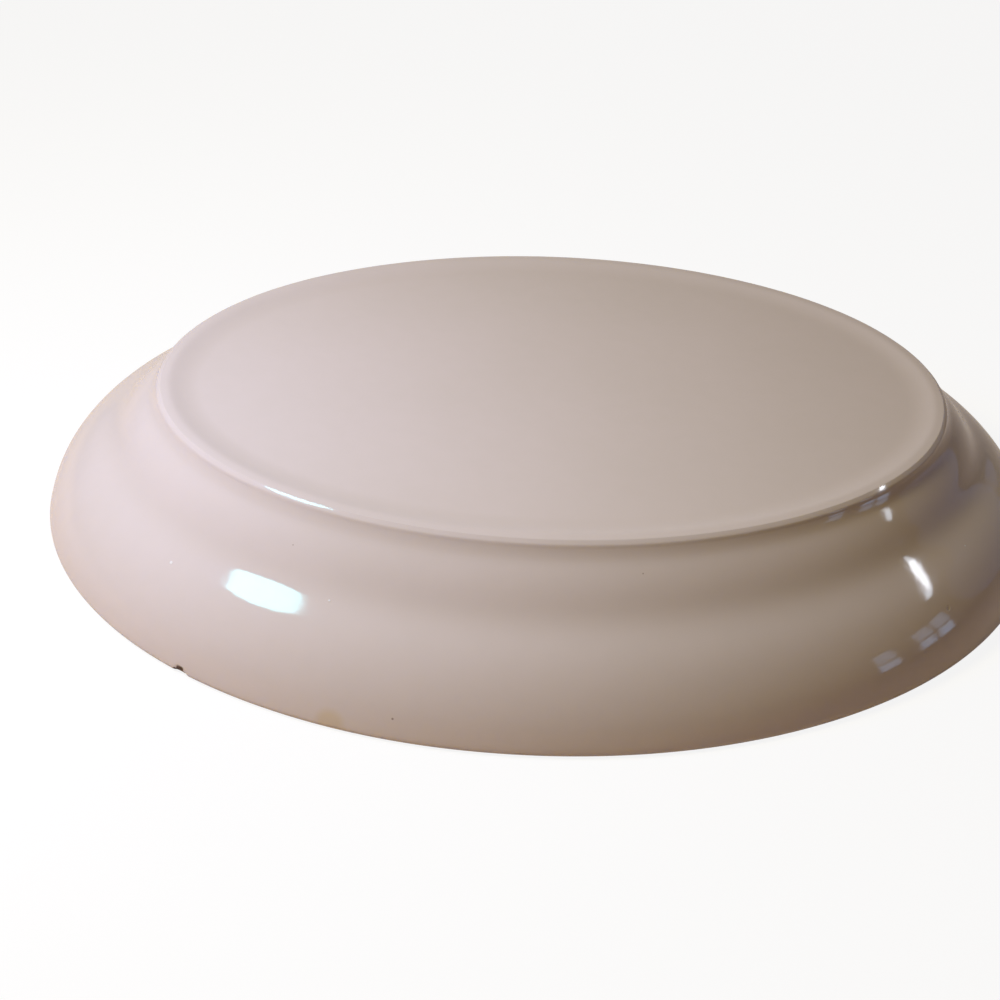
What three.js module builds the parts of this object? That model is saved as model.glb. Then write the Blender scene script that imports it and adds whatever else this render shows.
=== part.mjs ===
import * as THREE from "three";

// Oval serving platter of cream-glazed earthenware, lying face down with its underside up: the lip rests
// below and the foot is on top. Millimetres, +Z up. The origin is the centre of the oval, on the plane that
// the lip rests on, and the long axis lies on X.

// Overall sizes, across the outside of the lip and from the lip's plane to the crest of the foot.
const LENGTH = 360;
const WIDTH = 268;
const HEIGHT = 50;

// Thickness of the side, and of the base panel.
const WALL = 5;
const BASE = 5.5;

// The base panel lies in a shallow recess. Its bank climbs outwards to the flat crest of the foot.
const RECESS = 1.7;
const BANK_RUN = 8.6;
const BANK_RISE = 1.2;
const BANK_SLOPE = 16;
const FOOT_BROW_RUN = 2.9;
const FOOT_FLAT = 1.5;

// Foot wall, ledge, step and waist, from the crest outwards. Each runs out and drops to a place where the
// surface falls at its slope, in degrees.
const FOOT_WALL_RUN = 2.2;
const FOOT_WALL_DROP = 2.3;
const FOOT_WALL_SLOPE = 63;
const LEDGE_RUN = 3.2;
const LEDGE_DROP = 4;
const LEDGE_SLOPE = 39;
const STEP_RUN = 7.1;
const STEP_DROP = 7;
const STEP_SLOPE = 56;
const WAIST_RUN = 6.8;
const WAIST_DROP = 6.9;
const WAIST_SLOPE = 30;

// Broad shoulder and side. The side takes up what is left of the height, and ends in the lip's round.
const SHOULDER_RUN = 11.2;
const SHOULDER_DROP = 7.4;
const SHOULDER_SLOPE = 43;
const SIDE_RUN = 12.2;
const SIDE_SLOPE = 78;
const LIP_FLAT = 1.2;

// Inside, the well's floor bends down to the wall over this run.
const WELL_BEND_RUN = 10;

// Fineness of the faces: sides of the oval, and the section's longest chord and largest turns in degrees.
const SIDES = 80;
const CHORD = 6;
const CHORD_TURN = 8;
const LIP_TURN = 32;

// Length of a curve's handles as a share of its chord, for a stretch that is near to an arc.
const HANDLE = 0.35;

const LIP_RADIUS = (WALL - LIP_FLAT) / 2;
const UNDERSIDE_RUN =
  FOOT_WALL_RUN + LEDGE_RUN + STEP_RUN + WAIST_RUN + SHOULDER_RUN + SIDE_RUN;
const FOOT_REACH = LENGTH / 2 - UNDERSIDE_RUN;
const PANEL_REACH = FOOT_REACH - FOOT_FLAT - FOOT_BROW_RUN - BANK_RUN;

// A station is a place on the section: its reach from the middle on the long axis, its height, and how many
// degrees the surface falls there on its way outwards.
function station(reach, height, slope) {
  return {
    place: new THREE.Vector2(reach, height),
    fall: THREE.MathUtils.degToRad(slope),
  };
}

// The next station outwards.
function onwards(from, run, drop, slope) {
  return station(from.place.x + run, from.place.y - drop, slope);
}

// The place on the well's side behind a station of the underside, one wall thickness in.
function behind({ place, fall }) {
  const inwards = new THREE.Vector2(-Math.sin(fall), -Math.cos(fall));
  return { place: place.clone().addScaledVector(inwards, WALL), fall };
}

function ahead({ place, fall }, distance) {
  const outwards = new THREE.Vector2(Math.cos(fall), -Math.sin(fall));
  return place.clone().addScaledVector(outwards, distance);
}

// Points on a smooth curve through two stations, from the one to the other.
function stretch(from, to) {
  const handle = HANDLE * from.place.distanceTo(to.place);
  const curve = new THREE.CubicBezierCurve(
    from.place,
    ahead(from, handle),
    ahead(to, -handle),
    to.place,
  );
  const turn = THREE.MathUtils.radToDeg(Math.abs(to.fall - from.fall));
  const chords = Math.max(curve.getLength() / CHORD, turn / CHORD_TURN);
  return curve.getPoints(Math.ceil(chords));
}

// Points through a row of stations, outwards.
function sweep(stations) {
  const points = [stations[0].place];
  for (let i = 1; i < stations.length; i += 1) {
    points.push(...stretch(stations[i - 1], stations[i]).slice(1));
  }
  return points;
}

// The round of the lip about a centre, from one fall of the surface back to another.
function round(centre, fromFall, toFall) {
  const arc = new THREE.EllipseCurve(
    centre.x,
    centre.y,
    LIP_RADIUS,
    LIP_RADIUS,
    Math.PI / 2 - fromFall,
    Math.PI / 2 - toFall,
    false,
  );
  const turn = THREE.MathUtils.radToDeg(fromFall - toFall);
  return arc.getPoints(Math.ceil(turn / LIP_TURN));
}

// The underside from the panel's edge out to the lip, in the stations that its shape turns on.
function undersideStations() {
  const panelEdge = station(PANEL_REACH, HEIGHT - RECESS, 0);
  const bank = onwards(panelEdge, BANK_RUN, -BANK_RISE, -BANK_SLOPE);
  const crestInside = station(FOOT_REACH - FOOT_FLAT, HEIGHT, 0);
  const crestOutside = station(FOOT_REACH, HEIGHT, 0);
  const wall = onwards(crestOutside, FOOT_WALL_RUN, FOOT_WALL_DROP, FOOT_WALL_SLOPE);
  const ledge = onwards(wall, LEDGE_RUN, LEDGE_DROP, LEDGE_SLOPE);
  const step = onwards(ledge, STEP_RUN, STEP_DROP, STEP_SLOPE);
  const waist = onwards(step, WAIST_RUN, WAIST_DROP, WAIST_SLOPE);
  const shoulder = onwards(waist, SHOULDER_RUN, SHOULDER_DROP, SHOULDER_SLOPE);
  return {
    foot: [panelEdge, bank, crestInside],
    side: [crestOutside, wall, ledge, step, waist, shoulder],
  };
}

// The section of half the platter: from the middle of the well's floor out and down the well's side, round
// the lip, up the underside and over the foot to the middle of the panel.
function section() {
  const { foot, side } = undersideStations();
  const sideFall = THREE.MathUtils.degToRad(SIDE_SLOPE);
  const outerCentre = new THREE.Vector2(LENGTH / 2 - LIP_RADIUS, LIP_RADIUS);
  const innerCentre = new THREE.Vector2(outerCentre.x - LIP_FLAT, LIP_RADIUS);
  const innerLip = round(innerCentre, Math.PI + sideFall, Math.PI);
  const outerLip = [
    ...round(outerCentre, Math.PI, Math.PI / 2),
    ...round(outerCentre, Math.PI / 2, sideFall).slice(1),
  ];
  const wellEnd = { place: innerLip[0], fall: sideFall };
  const sideEnd = { place: outerLip.at(-1), fall: sideFall };

  const [ledge, step, waist, shoulder] = side.slice(2);
  const wellSide = [ledge, step, waist, shoulder].map(behind);
  const floorHeight = HEIGHT - RECESS - BASE;
  const floorEdge = station(wellSide[0].place.x - WELL_BEND_RUN, floorHeight, 0);
  const underside = [...sweep(foot), ...sweep([...side, sideEnd])];

  return [
    new THREE.Vector2(0, floorHeight),
    ...sweep([floorEdge, ...wellSide, wellEnd]),
    ...innerLip.slice(1),
    ...outerLip.slice(0, -1),
    ...underside.reverse(),
    new THREE.Vector2(0, HEIGHT - RECESS),
  ];
}

// Half the width of the oval whose half length is reach. Outside the panel every oval is narrower than it is
// long by the same amount, so the mouldings keep their breadth all the way round.
function halfWidth(reach) {
  const narrowing = (LENGTH - WIDTH) / 2;
  if (reach < PANEL_REACH) return (reach * (PANEL_REACH - narrowing)) / PANEL_REACH;
  return reach - narrowing;
}

// The section turned about Z, and drawn in across the short axis.
function ovalSolid(outline) {
  const solid = new THREE.LatheGeometry(outline, SIDES).rotateX(Math.PI / 2);
  const positions = solid.getAttribute("position");
  for (let i = 0; i < positions.count; i += 1) {
    const reach = Math.hypot(positions.getX(i), positions.getY(i));
    if (reach > 0) positions.setY(i, (positions.getY(i) * halfWidth(reach)) / reach);
  }
  solid.computeVertexNormals();
  return solid;
}

const glaze = new THREE.MeshStandardMaterial({
  color: 0xe6ddd3,
  roughness: 0.12,
  metalness: 0,
});

const platterBody = new THREE.Mesh(ovalSolid(section()), glaze);
platterBody.name = "platter_body";

const platter = new THREE.Group();
platter.name = "oval_serving_platter";
platter.add(platterBody);

export default platter;
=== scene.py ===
import math

import bpy
import numpy as np
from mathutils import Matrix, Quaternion, Vector, noise


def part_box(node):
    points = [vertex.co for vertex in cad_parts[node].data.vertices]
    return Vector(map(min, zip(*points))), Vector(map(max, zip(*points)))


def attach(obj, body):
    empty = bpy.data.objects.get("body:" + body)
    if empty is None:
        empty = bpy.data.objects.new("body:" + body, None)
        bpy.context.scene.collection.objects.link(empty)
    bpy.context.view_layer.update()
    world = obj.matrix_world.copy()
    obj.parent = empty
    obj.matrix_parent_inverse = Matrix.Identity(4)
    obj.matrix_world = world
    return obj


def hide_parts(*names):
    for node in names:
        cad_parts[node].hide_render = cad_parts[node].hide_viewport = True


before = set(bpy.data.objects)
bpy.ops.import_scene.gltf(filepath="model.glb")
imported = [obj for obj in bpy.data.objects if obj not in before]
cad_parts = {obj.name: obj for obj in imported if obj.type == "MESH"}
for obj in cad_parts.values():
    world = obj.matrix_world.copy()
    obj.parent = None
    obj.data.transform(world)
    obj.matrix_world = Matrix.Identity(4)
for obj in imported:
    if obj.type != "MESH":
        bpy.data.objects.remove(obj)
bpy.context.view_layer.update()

# Oval serving platter of cream-glazed pottery, lying face down on a pale floor. Metres, +Z up, with the long
# axis on X. The CAD part's box gives the length, the width and the height. A place on the platter is given
# by its reach, which is how far out it lies on the long axis, and by an angle round the oval.

MM = 0.001
NODE = "platter_body"
BODY = "root"

LOW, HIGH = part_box(NODE)
LENGTH = HIGH.x - LOW.x
WIDTH = HIGH.y - LOW.y
HEIGHT = HIGH.z - LOW.z

# The section, in the sizes of the CAD model: runs outwards, drops, and slopes in degrees.
WALL = 5 * MM
BASE = 5.5 * MM
RECESS = 1.7 * MM
BANK_RUN = 8.6 * MM
BANK_RISE = 1.2 * MM
BANK_SLOPE = 16
FOOT_BROW_RUN = 2.9 * MM
FOOT_FLAT = 1.5 * MM
FOOT_WALL_RUN = 2.2 * MM
FOOT_WALL_DROP = 2.3 * MM
FOOT_WALL_SLOPE = 63
LEDGE_RUN = 3.2 * MM
LEDGE_DROP = 4 * MM
LEDGE_SLOPE = 39
STEP_RUN = 7.1 * MM
STEP_DROP = 7 * MM
STEP_SLOPE = 56
WAIST_RUN = 6.8 * MM
WAIST_DROP = 6.9 * MM
WAIST_SLOPE = 30
SHOULDER_RUN = 11.2 * MM
SHOULDER_DROP = 7.4 * MM
SHOULDER_SLOPE = 43
SIDE_RUN = 12.2 * MM
SIDE_SLOPE = 78
LIP_FLAT = 1.2 * MM
WELL_BEND_RUN = 10 * MM

# How far the handles of a curve between two stations reach, as a share of its chord.
HANDLE = 0.35

# The foot's outer edge, finished by hand: a small round, and then a nearly flat facet that starts at the one
# slope and ends at the other.
EDGE_ROUND_RUN = 0.45 * MM
EDGE_ROUND_DROP = 0.12 * MM
FACET_RUN = 0.95 * MM
FACET_DROP = 0.68 * MM
FACET_SLOPES = (34, 38)

LIP_RADIUS = (WALL - LIP_FLAT) / 2
LIP_REACH = LENGTH / 2 - LIP_RADIUS
UNDERSIDE_RUN = FOOT_WALL_RUN + LEDGE_RUN + STEP_RUN + WAIST_RUN + SHOULDER_RUN + SIDE_RUN
FOOT_REACH = LENGTH / 2 - UNDERSIDE_RUN
PANEL_REACH = FOOT_REACH - FOOT_FLAT - FOOT_BROW_RUN - BANK_RUN

# Fineness of the surface: columns round the oval, the section's longest run and largest turn per row, and
# the rows of the flat floor and panel.
COLUMNS = 600
ROW_RUN = 1.7 * MM
ROW_TURN = math.radians(4)
LIP_TURN = math.radians(11)
FLAT_ROWS = 9

# Weights that soften a row of values by its neighbours, and how often they even out the side's section.
SOFTENING = (0.25, 0.5, 0.25)
EVENING_ROUNDS = 8

# The surface isn't true: broad hollows, a fine ripple in the glaze, and nicks on the foot's outer edge, each
# a depth below the true form and a length. The nicks fade out at a distance from the edge.
HOLLOW_DEPTH = 0.16 * MM
HOLLOW_LENGTH = 55 * MM
RIPPLE_DEPTH = 0.015 * MM
RIPPLE_LENGTH = 9 * MM
NICK_DEPTH = 0.07 * MM
NICK_LENGTH = 7 * MM
NICK_BREADTH = 3 * MM

# A chip out of the lip's outer edge: its place, half sizes and depth, how many columns it has for each one
# elsewhere, and how many of its half angles they reach to.
CHIP_ANGLE = 226.35
CHIP_HALF_ANGLE = 1.1
CHIP_HEIGHT = 1.0 * MM
CHIP_HALF_HEIGHT = 1.5 * MM
CHIP_DEPTH = 0.5 * MM
CHIP_COLUMNS = 6
CHIP_MARGIN = 1.5

# Height below which the lip's outer edge is painted brown, as painted shade where it turns under to the
# floor.
RIM_SHADE_LINE = 1.7 * MM

# The section's inward turn at which the glaze pools fully, and its painted shade in the hollow is full, and
# the rows to each side that it is measured over.
POOL_AND_SHADE_TURN = math.radians(25)
POOL_AND_SHADE_ROWS = 3

# Marks in the glaze, each an angle round the oval, a reach and a radius: dark specks, raised bubble marks
# painted white as glints, one dimple, and a yellow stain by the lip. The core is the share of the radius
# that has the mark in full.
SPECKS = ((276.8, 144.6 * MM, 0.3 * MM), (233.0, 147.4 * MM, 0.3 * MM), (250.9, 177.9 * MM, 0.5 * MM))
GLINT_BUBBLES = ((218.6, 163.2 * MM, 0.7 * MM), (325.2, 161.3 * MM, 0.5 * MM), (240.4, 156.6 * MM, 0.5 * MM))
DIMPLE = (315.2, 170.9 * MM, 1.1 * MM)
STAIN = (244.6, 179.8 * MM, 6 * MM)
MARK_CORE = 0.4

# Colours of the glaze, linear: where it is thin, where it is thick, where it pools in the hollows, which
# darkens it partly as painted shade, and its marks. The lip's brown is painted shade along its edge by the
# floor, and the white of the bubble marks is a painted glint. The clay in the chip is painted dark, partly
# as shade in the notch, and is darker in its crumbs, by a share of its colour.
GLAZE_PALE = (0.785, 0.715, 0.675)
GLAZE_DEEP = (0.755, 0.69, 0.64)
GLAZE_POOL_AND_SHADE = (0.72, 0.65, 0.59)
GLAZE_STAIN = (0.72, 0.58, 0.32)
RIM_SHADE_BROWN = (0.28, 0.21, 0.13)
BUBBLE_GLINT_WHITE = (0.95, 0.95, 0.93)
SPECK_BROWN = (0.3, 0.22, 0.16)
CHIP_CLAY_AND_SHADE = (0.22, 0.13, 0.075)
CLAY_SHADE = 0.45

# The thickness of the glaze: a broad drift with a fine mottle, as sizes and shares.
DRIFT_SIZE = 90 * MM
DRIFT_SHARE = 0.75
MOTTLE_SIZE = 7 * MM
MOTTLE_SHARE = 0.25
CLOUD_ENDS = (0.3, 0.7)

# How strongly each mark takes its colour.
STAIN_SHARE = 0.5
DIMPLE_SHARE = 0.5
SPECK_SHARE = 0.8

# Fine specks in patches: how far apart they lie, the shares of that where one ends and where it is darkest,
# how dark it is, and the size of the patches.
FINE_SPECK_PITCH = 26 * MM
FINE_SPECK_ENDS = (0.012, 0.006)
FINE_SPECK_SHARE = 0.5
PATCH_SIZE = 40 * MM
PATCH_LEVEL = 0.5

# Bare clay in the chip, painted dark partly as shade in the notch: how far in it starts and how far in it is
# full, and its crumbs.
CHIP_ENDS = (0.02, 0.25)
CRUMB_SIZE = 0.6 * MM
CRUMB_ENDS = (0.35, 0.65)

# Gloss: the glaze's mean roughness, how far it drifts and over what size, and what bare clay adds.
ROUGHNESS = 0.07
ROUGHNESS_DRIFT = 0.05
ROUGHNESS_SIZE = 30 * MM
CLAY_ROUGHNESS = 0.6
GLAZE_IOR = 1.46

# Relief that is too fine for the mesh.
PEEL_SIZE = 4 * MM
PEEL_HEIGHT = 0.022 * MM
DIMPLE_DEPTH = 0.3 * MM
BUBBLE_HEIGHT = 0.12 * MM
GRIT_HEIGHT = 0.2 * MM

# Camera, at the photograph's viewing angle.
CAMERA_PLACE = Vector((-0.0616, -0.4172, 0.3122))
CAMERA_AIM = Vector((-0.0250, -0.0719, 0.0500))
CAMERA_ROLL = 3.87
LENS = 50.4
SENSOR = 36

# Lamps, each an azimuth, an elevation and a distance from the middle of the panel, a size, a roll, a power
# and a colour. Some only light the platter, and some only show in its glaze.
LAMPS = {
    "key": (195.5, 49, 0.53, (0.112, 0.07), 46.7, 2.4, (0.89, 0.75, 0.26)),
    "cool": (195, 44, 0.4, (0.15, 0.15), 0, 1.6, (0.0, 0.11, 0.6)),
    "back": (80, 15, 2.5, (1.8, 1.35), 0, 12.6, (1, 0.95, 0.9)),
}
MIRRORED_LAMPS = {
    "shade": (196.1, 49.8, 0.85, (0.2, 0.15), 38, 1.4, (0.36, 0.9, 1)),
    "bar": (2, 33, 3, (1.05, 0.12), 45, 3.8, (0.78, 0.86, 1)),
    "bar_core": (2.5, 33.6, 3, (0.5, 0.1), 45, 1.6, (0.96, 0.96, 1)),
    "room_right": (15, 14, 4, (2.5, 2.1), 0, 12, (0.06, 0.15, 0.36)),
    "room_far": (50, 14, 4, (2.7, 2.1), 0, 12, (0.06, 0.12, 0.3)),
}

# Bright panes beyond the right end, which only show in the glaze: columns of azimuth, and rows of elevation,
# height and radiance.
PANE_DISTANCE = 4
PANE_COLUMNS = (349, 343.5, 333)
PANE_ROWS = ((4, 0.4, 3), (11.5, 0.5, 2))
PANE_WIDTH = 0.3
PANE_COLOUR = (0.42, 0.64, 1)

# Floor and backdrop: their sizes, how strongly they glow near the floor and high up on the backdrop, the
# heights between which this fades, their paint, how much of their paleness shows in the glaze, and the
# colour in which they bounce light.
FLOOR_HALF_SIZE = 5
BACKDROP_RADIUS = 4.9
BACKDROP_HEIGHT = 2.6
BACKDROP_SIDES = 96
PAPER_GLOW = 0.88
GLOW_LEAST = 0.3
GLOW_FADE = (0.2, 2.4)
PAPER_PAINT = (0.14, 0.14, 0.14)
PAPER_IN_GLAZE = 0.3
PAPER_BOUNCE = (0.76, 0.6, 0.48)

# A dim and slightly warm sky.
SKY = (1, 0.75, 0.58)
SKY_STRENGTH = 0.12

# Sockets of a mix node that hold its colours.
FIRST_COLOUR = 6
SECOND_COLOUR = 7
MIXED_COLOUR = 2


# A place on the section: its reach, its height and how far the surface falls there on its way out.
def station(reach, height, slope):
    return reach, height, math.radians(slope)


# The next station outwards.
def onwards(start, run, drop, slope):
    return station(start[0] + run, start[1] - drop, slope)


# The place on the well's side behind a station of the underside, one wall thickness in.
def behind(start):
    reach, height, fall = start
    return reach - WALL * math.sin(fall), height - WALL * math.cos(fall), fall


# Points on a smooth curve from one station to the next, without the first.
def stretch(start, end):
    chord = math.dist(start[:2], end[:2])
    handle = HANDLE * chord
    a = np.array(start[:2])
    b = a + handle * np.array((math.cos(start[2]), -math.sin(start[2])))
    d = np.array(end[:2])
    c = d - handle * np.array((math.cos(end[2]), -math.sin(end[2])))
    count = math.ceil(max(chord / ROW_RUN, abs(end[2] - start[2]) / ROW_TURN))
    points = []
    for i in range(1, count + 1):
        t = i / count
        s = 1 - t
        points.append(tuple(s**3 * a + 3 * s * s * t * b + 3 * s * t * t * c + t**3 * d))
    return points


# Points through a row of stations, outwards.
def sweep(stations):
    points = [stations[0][:2]]
    for start, end in zip(stations, stations[1:]):
        points += stretch(start, end)
    return points


# Points along a level stretch, without the first.
def flat_run(start_reach, end_reach, height):
    reaches = np.linspace(start_reach, end_reach, FLAT_ROWS + 1)[1:]
    return [(reach, height) for reach in reaches]


# The place on the lip's round about a centre where the surface has a given fall.
def on_round(centre, fall):
    return centre[0] + LIP_RADIUS * math.sin(fall), centre[1] + LIP_RADIUS * math.cos(fall)


# Points on the lip's round from one fall of the surface back to another, without the first.
def lip_round(centre, start, end):
    count = math.ceil((start - end) / LIP_TURN)
    return [on_round(centre, start + (end - start) * i / count) for i in range(1, count + 1)]


# Points of the side evened out from the ledge down, so that its curvature changes gently, as glaze runs.
def evened(points, ledge):
    places = np.array(points)
    below = places[:, 1] <= ledge[1]
    before, here, after = SOFTENING
    for _ in range(EVENING_ROUNDS):
        softer = places.copy()
        softer[1:-1] = before * places[:-2] + here * places[1:-1] + after * places[2:]
        places = np.where(below[:, None], softer, places)
    return [tuple(place) for place in places]


# The stations of the underside in three rows: from the panel to the foot's crest, over the foot's outer
# edge, and from the ledge to the shoulder.
def underside_stations():
    panel_edge = station(PANEL_REACH, HEIGHT - RECESS, 0)
    bank = onwards(panel_edge, BANK_RUN, -BANK_RISE, -BANK_SLOPE)
    crest_inside = station(FOOT_REACH - FOOT_FLAT, HEIGHT, 0)
    crest_outside = station(FOOT_REACH, HEIGHT, 0)
    facet_start = onwards(crest_outside, EDGE_ROUND_RUN, EDGE_ROUND_DROP, FACET_SLOPES[0])
    facet_end = onwards(facet_start, FACET_RUN, FACET_DROP, FACET_SLOPES[1])
    wall = onwards(crest_outside, FOOT_WALL_RUN, FOOT_WALL_DROP, FOOT_WALL_SLOPE)
    ledge = onwards(wall, LEDGE_RUN, LEDGE_DROP, LEDGE_SLOPE)
    step = onwards(ledge, STEP_RUN, STEP_DROP, STEP_SLOPE)
    waist = onwards(step, WAIST_RUN, WAIST_DROP, WAIST_SLOPE)
    shoulder = onwards(waist, SHOULDER_RUN, SHOULDER_DROP, SHOULDER_SLOPE)
    foot = [panel_edge, bank, crest_inside]
    foot_edge = [crest_outside, facet_start, facet_end, wall]
    return foot, foot_edge, [ledge, step, waist, shoulder]


# The section from the middle of the well's floor out, round the lip and back to the middle of the panel. The
# two ends on the axis are left out: each is one vertex, and not a ring.
def section():
    foot, foot_edge, lower = underside_stations()
    side_fall = math.radians(SIDE_SLOPE)
    outer_centre = (LIP_REACH, LIP_RADIUS)
    inner_centre = (LIP_REACH - LIP_FLAT, LIP_RADIUS)
    side_end = (*on_round(outer_centre, side_fall), side_fall)
    well_end = (*on_round(inner_centre, math.pi + side_fall), side_fall)

    well_side = [behind(place) for place in lower]
    floor_height = HEIGHT - RECESS - BASE
    floor_edge = station(well_side[0][0] - WELL_BEND_RUN, floor_height, 0)
    well = sweep([floor_edge, *well_side, well_end])
    lip = lip_round(inner_centre, math.pi + side_fall, math.pi)
    lip.append((outer_centre[0], 0.0))
    lip += lip_round(outer_centre, math.pi, side_fall)
    side = evened(sweep([*foot_edge, *lower, side_end]), lower[0])
    return (
        flat_run(0, floor_edge[0], floor_height)
        + well[1:]
        + lip
        + side[::-1][1:]
        + sweep(foot)[::-1]
        + flat_run(PANEL_REACH, 0, HEIGHT - RECESS)[:-1]
    )


# Half the oval's width at a reach. Outside the panel every oval keeps the same distance from the next.
def half_width(reach):
    narrowing = (LENGTH - WIDTH) / 2
    if reach < PANEL_REACH:
        return reach * (PANEL_REACH - narrowing) / PANEL_REACH
    return reach - narrowing


# The place at an angle round the oval, a reach and a height.
def on_oval(angle, reach, height):
    return reach * math.cos(angle), half_width(reach) * math.sin(angle), height


# Angles round the oval, closer together at the chip.
def column_angles():
    angles = []
    pitch = 360 / COLUMNS
    for i in range(COLUMNS):
        near = abs(i * pitch + pitch / 2 - CHIP_ANGLE) < CHIP_MARGIN * CHIP_HALF_ANGLE + pitch
        parts = CHIP_COLUMNS if near else 1
        angles += [math.radians((i + part / parts) * pitch) for part in range(parts)]
    return angles


# Faces of the rings, and of the two fans that close them at the axis.
def ring_faces(rows, columns):
    faces = []
    for row in range(rows - 1):
        for column in range(columns):
            beside = (column + 1) % columns
            a, b = row * columns + column, row * columns + beside
            faces.append((a, b, b + columns, a + columns))
    first, last = rows * columns, rows * columns + 1
    top = (rows - 1) * columns
    for column in range(columns):
        beside = (column + 1) % columns
        faces.append((first, beside, column))
        faces.append((last, top + column, top + beside))
    return faces


# A smooth, uneven share from 0 to 1 that changes over a length.
def uneven(place, length):
    return 0.5 + 0.5 * noise.noise(place / length)


# How deep the surface lies below its true form at a place, which is near the foot's outer edge by a share.
def sag(place, edge):
    hollow = HOLLOW_DEPTH * uneven(place, HOLLOW_LENGTH)
    ripple = RIPPLE_DEPTH * uneven(place, RIPPLE_LENGTH)
    nick = NICK_DEPTH * edge * uneven(place, NICK_LENGTH)
    return hollow + ripple + nick


# How near a place on the section is to the foot's outer edge, from 0 to 1.
def edge_share(reach, height):
    away = math.dist((reach, height), (FOOT_REACH + FOOT_WALL_RUN / 2, HEIGHT))
    return math.sqrt(max(0.0, 1 - away / NICK_BREADTH))


# How far into the chip a place lies, from 0 at its edge to 1.
def chip_share(angle, reach, height):
    across = (math.degrees(angle) - CHIP_ANGLE) / CHIP_HALF_ANGLE
    up = (height - CHIP_HEIGHT) / CHIP_HALF_HEIGHT
    if reach < LIP_REACH or across * across + up * up >= 1:
        return 0.0
    return math.sqrt(1 - across * across - up * up)


# How thick the glaze lies along the section, from 0 to 1: it pools where the surface turns hollow, and its
# darker colour there is partly painted shade in the creases.
def pool_and_shade_shares(rows):
    places = np.array(rows)
    ahead = np.roll(places, -POOL_AND_SHADE_ROWS, axis=0) - places
    back = places - np.roll(places, POOL_AND_SHADE_ROWS, axis=0)
    cross = ahead[:, 1] * back[:, 0] - ahead[:, 0] * back[:, 1]
    length = np.linalg.norm(ahead, axis=1) * np.linalg.norm(back, axis=1)
    turn = np.arcsin(np.clip(cross / length, -1, 1))
    hollow = np.clip(-turn / POOL_AND_SHADE_TURN, 0, 1)
    hollow[:FLAT_ROWS] = 0
    hollow[-FLAT_ROWS:] = 0
    return np.convolve(hollow, SOFTENING, "same")


# How strongly the lip's outer edge is painted brown as shade, growing from none at that height to full at
# the floor.
def rim_shade_share(reach, height):
    if reach < LIP_REACH:
        return 0.0
    return max(0.0, 1 - height / RIM_SHADE_LINE)


def platter_mesh():
    rows = section()
    angles = column_angles()
    vertices = []
    edge_shares = []
    shares = {"chip": [], "pool_and_shade": [], "rim_shade": []}
    for (reach, height), pool_and_shade in zip(rows, pool_and_shade_shares(rows)):
        edge_shares += [edge_share(reach, height)] * len(angles)
        for angle in angles:
            vertices.append(on_oval(angle, reach, height))
            shares["chip"].append(chip_share(angle, reach, height))
            shares["pool_and_shade"].append(pool_and_shade)
            shares["rim_shade"].append(rim_shade_share(reach, height))
    vertices.append((0, 0, rows[0][1]))
    vertices.append((0, 0, rows[-1][1]))
    for values in (edge_shares, *shares.values()):
        values += [0.0, 0.0]

    mesh = bpy.data.meshes.new("platter_glazed")
    mesh.from_pydata(vertices, [], ring_faces(len(rows), len(angles)))
    mesh.update()
    normals = [Vector(normal.vector) for normal in mesh.vertex_normals]
    for vertex, normal, edge, chip in zip(mesh.vertices, normals, edge_shares, shares["chip"]):
        vertex.co -= normal * (sag(vertex.co, edge) + CHIP_DEPTH * chip)
    for name, values in shares.items():
        layer = mesh.attributes.new(name, "FLOAT", "POINT")
        layer.data.foreach_set("value", np.array(values, np.float32))
    mesh.polygons.foreach_set("use_smooth", [True] * len(mesh.polygons))
    mesh.update()
    return mesh


# Where the underside lies at an angle round the oval and a reach.
def place_on_underside(angle, reach):
    rows = np.array(section())
    outer = rows[np.argmax(rows[:, 0]) :]
    height = np.interp(reach, outer[::-1, 0], outer[::-1, 1])
    return on_oval(math.radians(angle), reach, height)


# Gives a socket a link or a constant.
def feed(tree, socket, term):
    if isinstance(term, bpy.types.NodeSocket):
        tree.links.new(term, socket)
    else:
        socket.default_value = term


def calculate(tree, operation, *terms):
    step = tree.nodes.new("ShaderNodeMath")
    step.operation = operation
    for socket, term in zip(step.inputs, terms):
        feed(tree, socket, term)
    return step.outputs[0]


# From 0 at the first value to 1 at the second, with soft ends.
def ease(tree, value, first, second):
    step = tree.nodes.new("ShaderNodeMapRange")
    step.interpolation_type = "SMOOTHSTEP"
    feed(tree, step.inputs["Value"], value)
    step.inputs["From Min"].default_value = first
    step.inputs["From Max"].default_value = second
    return step.outputs["Result"]


# From the first colour to the second by a share. Either may be a link or a constant.
def blend(tree, share, start, end):
    mix = tree.nodes.new("ShaderNodeMix")
    mix.data_type = "RGBA"
    feed(tree, mix.inputs["Factor"], share)
    for index, colour in ((FIRST_COLOUR, start), (SECOND_COLOUR, end)):
        feed(tree, mix.inputs[index], colour if isinstance(colour, bpy.types.NodeSocket) else (*colour, 1))
    return mix.outputs[MIXED_COLOUR]


def clouds(tree, place, size, detail=2):
    texture = tree.nodes.new("ShaderNodeTexNoise")
    texture.inputs["Scale"].default_value = 1 / size
    texture.inputs["Detail"].default_value = detail
    tree.links.new(place, texture.inputs["Vector"])
    return texture.outputs["Fac"]


def attribute(tree, name):
    reader = tree.nodes.new("ShaderNodeAttribute")
    reader.attribute_name = name
    return reader.outputs["Fac"]


def distance_from(tree, place, spot):
    step = tree.nodes.new("ShaderNodeVectorMath")
    step.operation = "DISTANCE"
    tree.links.new(place, step.inputs[0])
    step.inputs[1].default_value = spot
    return step.outputs["Value"]


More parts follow.
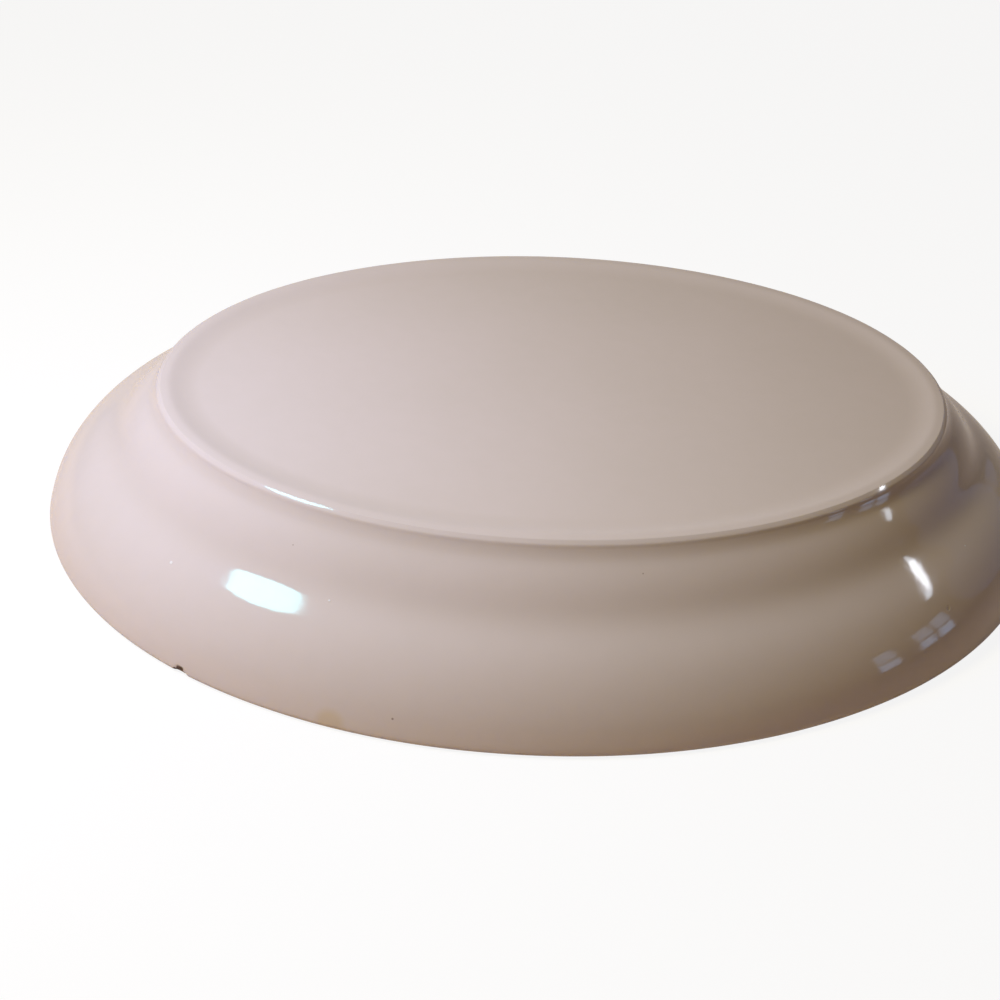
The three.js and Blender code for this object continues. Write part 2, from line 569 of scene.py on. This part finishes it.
# From 1 in the core of any of the marks to 0 at its radius.
def mark_share(tree, place, marks):
    total = 0.0
    for angle, reach, radius in marks:
        distance = distance_from(tree, place, place_on_underside(angle, reach))
        total = calculate(tree, "MAXIMUM", total, ease(tree, distance, radius, MARK_CORE * radius))
    return total


def glaze_thickness(tree, place):
    drift = ease(tree, clouds(tree, place, DRIFT_SIZE), *CLOUD_ENDS)
    mottle = ease(tree, clouds(tree, place, MOTTLE_SIZE, detail=3), *CLOUD_ENDS)
    broad = calculate(tree, "MULTIPLY", drift, DRIFT_SHARE)
    return calculate(tree, "MULTIPLY_ADD", mottle, MOTTLE_SHARE, broad)


def fine_specks(tree, place):
    texture = tree.nodes.new("ShaderNodeTexVoronoi")
    texture.inputs["Scale"].default_value = 1 / FINE_SPECK_PITCH
    tree.links.new(place, texture.inputs["Vector"])
    specks = ease(tree, texture.outputs["Distance"], *FINE_SPECK_ENDS)
    patches = calculate(tree, "GREATER_THAN", clouds(tree, place, PATCH_SIZE), PATCH_LEVEL)
    return calculate(tree, "MULTIPLY", calculate(tree, "MULTIPLY", specks, patches), FINE_SPECK_SHARE)


# The glaze's colour with its marks, with painted shade in its hollows and along the lip's edge and a painted
# glint on each bubble mark, and the chip's clay, painted dark partly as shade in the notch.
def glaze_colour(tree, place, marks):
    colour = blend(tree, glaze_thickness(tree, place), GLAZE_PALE, GLAZE_DEEP)
    # The glaze pools darker in the hollows, partly as painted shade.
    colour = blend(tree, attribute(tree, "pool_and_shade"), colour, GLAZE_POOL_AND_SHADE)
    # Painted shade along the lip's outer edge, where it meets the floor.
    colour = blend(tree, attribute(tree, "rim_shade"), colour, RIM_SHADE_BROWN)
    stain = calculate(tree, "MULTIPLY", mark_share(tree, place, [STAIN]), STAIN_SHARE)
    colour = blend(tree, stain, colour, GLAZE_STAIN)
    dots = calculate(tree, "MAXIMUM", fine_specks(tree, place), mark_share(tree, place, SPECKS))
    dots = calculate(tree, "MAXIMUM", dots, calculate(tree, "MULTIPLY", marks["dimple"], DIMPLE_SHARE))
    colour = blend(tree, calculate(tree, "MULTIPLY", dots, SPECK_SHARE), colour, SPECK_BROWN)
    # Painted glints: the raised bubble marks are painted near white.
    colour = blend(tree, marks["glint_bubbles"], colour, BUBBLE_GLINT_WHITE)
    # The chip's clay, painted dark partly as shade in the notch, and darker in its crumbs.
    clay_and_shade = blend(tree, marks["crumbs"], CHIP_CLAY_AND_SHADE, [CLAY_SHADE * value for value in CHIP_CLAY_AND_SHADE])
    return blend(tree, marks["chip"], colour, clay_and_shade)


def glaze_roughness(tree, place, marks):
    drift = clouds(tree, place, ROUGHNESS_SIZE, detail=4)
    least = ROUGHNESS - ROUGHNESS_DRIFT / 2
    glaze = calculate(tree, "MULTIPLY_ADD", drift, ROUGHNESS_DRIFT, least)
    return calculate(tree, "MULTIPLY_ADD", marks["chip"], CLAY_ROUGHNESS, glaze)


# Peel of the glaze, the marks' pits and lumps, and the grit of the clay, as a normal.
def glaze_relief(tree, place, marks):
    peel = calculate(tree, "MULTIPLY", clouds(tree, place, PEEL_SIZE, detail=1), PEEL_HEIGHT)
    pit = calculate(tree, "MULTIPLY", marks["dimple"], -DIMPLE_DEPTH)
    lump = calculate(tree, "MULTIPLY_ADD", marks["glint_bubbles"], BUBBLE_HEIGHT, pit)
    relief = calculate(tree, "ADD", lump, peel)
    bare = calculate(tree, "MULTIPLY", marks["crumbs"], marks["chip"])
    grit = calculate(tree, "MULTIPLY", bare, GRIT_HEIGHT)
    bump = tree.nodes.new("ShaderNodeBump")
    bump.inputs["Distance"].default_value = 1
    tree.links.new(calculate(tree, "ADD", relief, grit), bump.inputs["Height"])
    return bump.outputs["Normal"]


def glaze_material():
    material = bpy.data.materials.new("cream_glaze")
    material.use_nodes = True
    tree = material.node_tree
    place = tree.nodes.new("ShaderNodeTexCoord").outputs["Object"]
    marks = {
        "dimple": mark_share(tree, place, [DIMPLE]),
        "glint_bubbles": mark_share(tree, place, GLINT_BUBBLES),
        "chip": ease(tree, attribute(tree, "chip"), *CHIP_ENDS),
        "crumbs": ease(tree, clouds(tree, place, CRUMB_SIZE, detail=3), *CRUMB_ENDS),
    }
    shader = tree.nodes["Principled BSDF"]
    shader.inputs["IOR"].default_value = GLAZE_IOR
    tree.links.new(glaze_colour(tree, place, marks), shader.inputs["Base Color"])
    tree.links.new(glaze_roughness(tree, place, marks), shader.inputs["Roughness"])
    tree.links.new(glaze_relief(tree, place, marks), shader.inputs["Normal"])
    return material


def link(item):
    bpy.context.scene.collection.objects.link(item)
    return item


def add_platter():
    platter = link(bpy.data.objects.new("platter_glazed", platter_mesh()))
    platter.data.materials.append(glaze_material())
    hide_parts(NODE)
    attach(platter, BODY)


def add_camera():
    data = bpy.data.cameras.new("camera")
    data.lens = LENS
    data.sensor_width = SENSOR
    camera = link(bpy.data.objects.new("camera", data))
    camera.location = CAMERA_PLACE
    level = (CAMERA_AIM - CAMERA_PLACE).to_track_quat("-Z", "Y")
    camera.rotation_mode = "QUATERNION"
    camera.rotation_quaternion = level @ Quaternion((0, 0, 1), math.radians(CAMERA_ROLL))
    bpy.context.scene.camera = camera


def direction(azimuth, elevation):
    a, e = math.radians(azimuth), math.radians(elevation)
    return Vector((math.cos(a) * math.cos(e), math.sin(a) * math.cos(e), math.sin(e)))


# An area lamp turned to the middle of the panel, which lights the platter or only shows in its glaze.
def add_lamp(name, azimuth, elevation, distance, size, roll, power, colour, shape="ELLIPSE", mirrored=False):
    data = bpy.data.lights.new(name, "AREA")
    data.shape = shape
    data.size, data.size_y = size
    data.energy = power
    data.color = colour
    lamp = link(bpy.data.objects.new(name, data))
    back = direction(azimuth, elevation)
    lamp.location = Vector((0, 0, HEIGHT)) + distance * back
    lamp.rotation_mode = "QUATERNION"
    lamp.rotation_quaternion = back.to_track_quat("Z", "Y") @ Quaternion((0, 0, 1), math.radians(roll))
    lamp.visible_camera = False
    lamp.visible_diffuse = not mirrored
    lamp.visible_glossy = mirrored


# The power of a pane is its radiance times pi times its area.
def add_panes():
    for azimuth in PANE_COLUMNS:
        for elevation, height, radiance in PANE_ROWS:
            place = (f"pane_{azimuth}_{elevation}", azimuth, elevation, PANE_DISTANCE)
            power = radiance * math.pi * PANE_WIDTH * height
            add_lamp(*place, (PANE_WIDTH, height), 0, power, PANE_COLOUR, "RECTANGLE", mirrored=True)


def diffuse(tree, colour):
    shader = tree.nodes.new("ShaderNodeBsdfDiffuse")
    shader.inputs["Color"].default_value = (*colour, 1)
    return shader.outputs[0]


# Light that the paper gives off, full near the floor and fading out up the backdrop.
def paper_glow(tree):
    glow = tree.nodes.new("ShaderNodeEmission")
    height = tree.nodes.new("ShaderNodeSeparateXYZ")
    tree.links.new(tree.nodes.new("ShaderNodeNewGeometry").outputs["Position"], height.inputs[0])
    low = ease(tree, height.outputs["Z"], *GLOW_FADE[::-1])
    fade = calculate(tree, "MULTIPLY_ADD", low, PAPER_GLOW - GLOW_LEAST, GLOW_LEAST)
    tree.links.new(fade, glow.inputs["Strength"])
    return glow.outputs[0]


# Paper that looks pale to the camera, less so in the glaze, and otherwise only bounces what falls on it.
def paper_material():
    material = bpy.data.materials.new("paper")
    material.use_nodes = True
    material.cycles.emission_sampling = "NONE"
    tree = material.node_tree
    tree.nodes.clear()
    rays = tree.nodes.new("ShaderNodeLightPath")
    through = calculate(tree, "MAXIMUM", rays.outputs["Is Glossy Ray"], rays.outputs["Is Transmission Ray"])
    seen = calculate(tree, "MULTIPLY_ADD", through, PAPER_IN_GLAZE, rays.outputs["Is Camera Ray"])
    pale = tree.nodes.new("ShaderNodeAddShader")
    tree.links.new(diffuse(tree, PAPER_PAINT), pale.inputs[0])
    tree.links.new(paper_glow(tree), pale.inputs[1])
    mix = tree.nodes.new("ShaderNodeMixShader")
    tree.links.new(seen, mix.inputs["Fac"])
    tree.links.new(diffuse(tree, PAPER_BOUNCE), mix.inputs[1])
    tree.links.new(pale.outputs[0], mix.inputs[2])
    output = tree.nodes.new("ShaderNodeOutputMaterial")
    tree.links.new(mix.outputs[0], output.inputs["Surface"])
    return material


def add_paper():
    material = paper_material()
    bpy.ops.mesh.primitive_plane_add(size=2 * FLOOR_HALF_SIZE)
    floor = bpy.context.object
    floor.name = "floor"
    bpy.ops.mesh.primitive_cylinder_add(
        vertices=BACKDROP_SIDES,
        radius=BACKDROP_RADIUS,
        depth=BACKDROP_HEIGHT,
        end_fill_type="NOTHING",
        location=(0, 0, BACKDROP_HEIGHT / 2),
    )
    backdrop = bpy.context.object
    backdrop.name = "backdrop"
    for sheet in (floor, backdrop):
        sheet.data.materials.append(material)


def set_world():
    world = bpy.data.worlds.new("world")
    world.use_nodes = True
    background = world.node_tree.nodes["Background"]
    background.inputs["Color"].default_value = (*SKY, 1)
    background.inputs["Strength"].default_value = SKY_STRENGTH
    bpy.context.scene.world = world


add_camera()
add_platter()
add_paper()
set_world()
for name, settings in LAMPS.items():
    add_lamp(name, *settings)
for name, settings in MIRRORED_LAMPS.items():
    add_lamp(name, *settings, mirrored=True)
add_panes()
bpy.context.scene.view_settings.view_transform = "Standard"
